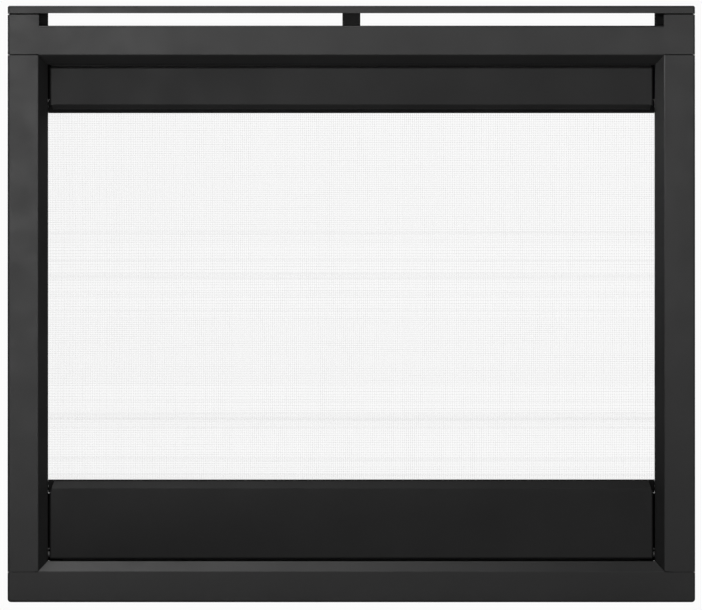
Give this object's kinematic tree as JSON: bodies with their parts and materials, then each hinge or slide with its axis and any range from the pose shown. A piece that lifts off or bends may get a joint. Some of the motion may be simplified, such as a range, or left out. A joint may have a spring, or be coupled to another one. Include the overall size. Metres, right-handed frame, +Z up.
{
  "type": "fireplace screen front",
  "caption": "Black folded-steel front for a gas fireplace, with a vent slot, a fine mesh screen, a fixed upper panel and a drop-down lower access panel.",
  "frame": {"origin": "bottom centre of the bounding box, on the floor plane of the base flange", "axes": "+X to the right as seen from the room, +Y back into the fireplace, +Z up"},
  "size_m": [1.035, 0.074, 0.898],
  "materials": {
    "frame_coat": "satin powder coat",
    "panel_coat": "matt powder coat",
    "pin_steel": "black oxide",
    "inner_coat": "matt heat-resistant paint",
    "bracket_steel": "mill",
    "zinc_steel": "bright zinc plate",
    "nylon": "moulded",
    "magnet": "sintered ferrite",
    "screen_wire": "black wire"
  },
  "bodies": {
    "frame": {"top_cap": "frame_coat", "top_rail": "frame_coat", "left_stile": "frame_coat", "right_stile": "frame_coat", "bottom_rail": "frame_coat", "upper_panel": "panel_coat", "left_side_channel": "inner_coat", "right_side_channel": "inner_coat", "vent_post": "inner_coat", "upper_crossbar": "inner_coat", "lower_crossbar": "inner_coat", "upper_stop_left": "inner_coat", "upper_stop_right": "inner_coat", "door_stop_left": "inner_coat", "door_stop_right": "inner_coat", "mesh_strip_top": "inner_coat", "mesh_strip_bottom": "inner_coat", "mesh_strip_left": "inner_coat", "mesh_strip_right": "inner_coat", "seam_plates": "inner_coat", "pivot_pin_left": "pin_steel", "pivot_pin_right": "pin_steel", "pivot_clip_left": "pin_steel", "pivot_clip_right": "pin_steel", "stop_pin_left": "pin_steel", "stop_pin_right": "pin_steel", "corner_bracket_top_left": "bracket_steel", "corner_bracket_top_right": "bracket_steel", "corner_bracket_bottom_left": "bracket_steel", "corner_bracket_bottom_right": "bracket_steel", "upper_panel_screws": "zinc_steel", "mesh_screws": "zinc_steel", "channel_rivets": "zinc_steel", "crossbar_rivets": "zinc_steel", "stop_rivets": "zinc_steel", "catch_screws": "zinc_steel", "hanger_left": "zinc_steel", "hanger_right": "zinc_steel", "hanger_studs": "zinc_steel", "hanger_washers": "zinc_steel", "hanger_nuts": "zinc_steel", "pivot_bush_left": "nylon", "pivot_bush_right": "nylon", "catch_housing_left": "nylon", "catch_housing_right": "nylon", "catch_magnet_left": "magnet", "catch_magnet_right": "magnet", "mesh_screen": "screen_wire"},
    "access_panel": {"lower_panel": "panel_coat", "strike_plate_left": "zinc_steel", "strike_plate_right": "zinc_steel"}
  },
  "joints": [
    {"name": "lower_panel_drop", "type": "hinge", "parent": "frame", "child": "access_panel", "pos_m": [0, -0.014, 0.0723], "axis": [1, 0, 0], "range_deg": [0, 90]}
  ]
}
